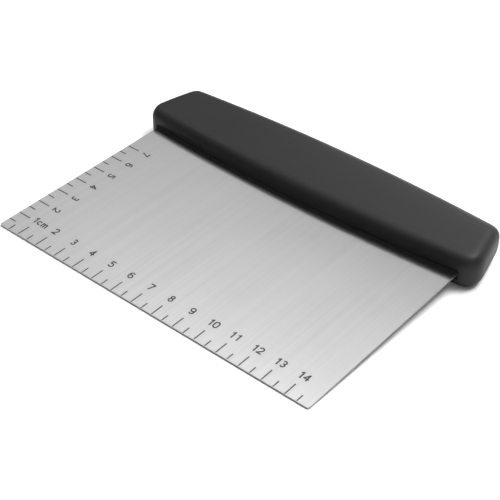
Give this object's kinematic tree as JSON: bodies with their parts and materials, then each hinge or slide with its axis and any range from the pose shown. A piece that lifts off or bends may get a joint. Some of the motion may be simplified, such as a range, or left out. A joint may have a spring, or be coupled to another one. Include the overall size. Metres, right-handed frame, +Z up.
{
  "type": "bench scraper",
  "caption": "Bench scraper for dough: a straight brushed steel blade with a centimetre scale along two edges, held in a rounded black plastic handle.",
  "frame": {"origin": "on the table, under the middle of the object's box as it lies at rest on the blade's front edge and the handle's underside", "axes": "+X along the scraping edge, towards the scale's higher numbers; +Y from the scraping edge towards the handle; +Z up from the table"},
  "size_m": [0.1632, 0.1191, 0.0159],
  "materials": {
    "blade_steel": "brushed from the scraping edge to the handle, satin",
    "core_plastic": "moulded, smooth matte",
    "grip_plastic": "moulded, fine matte grain",
    "scale_print": "printed ink, matte"
  },
  "bodies": {
    "root": {"blade": "blade_steel", "core_upper": "core_plastic", "core_lower": "core_plastic", "grip": "grip_plastic", "front_scale_lines": "scale_print", "front_scale_numerals": "scale_print", "side_scale_lines": "scale_print", "side_scale_numerals": "scale_print"}
  },
  "joints": []
}
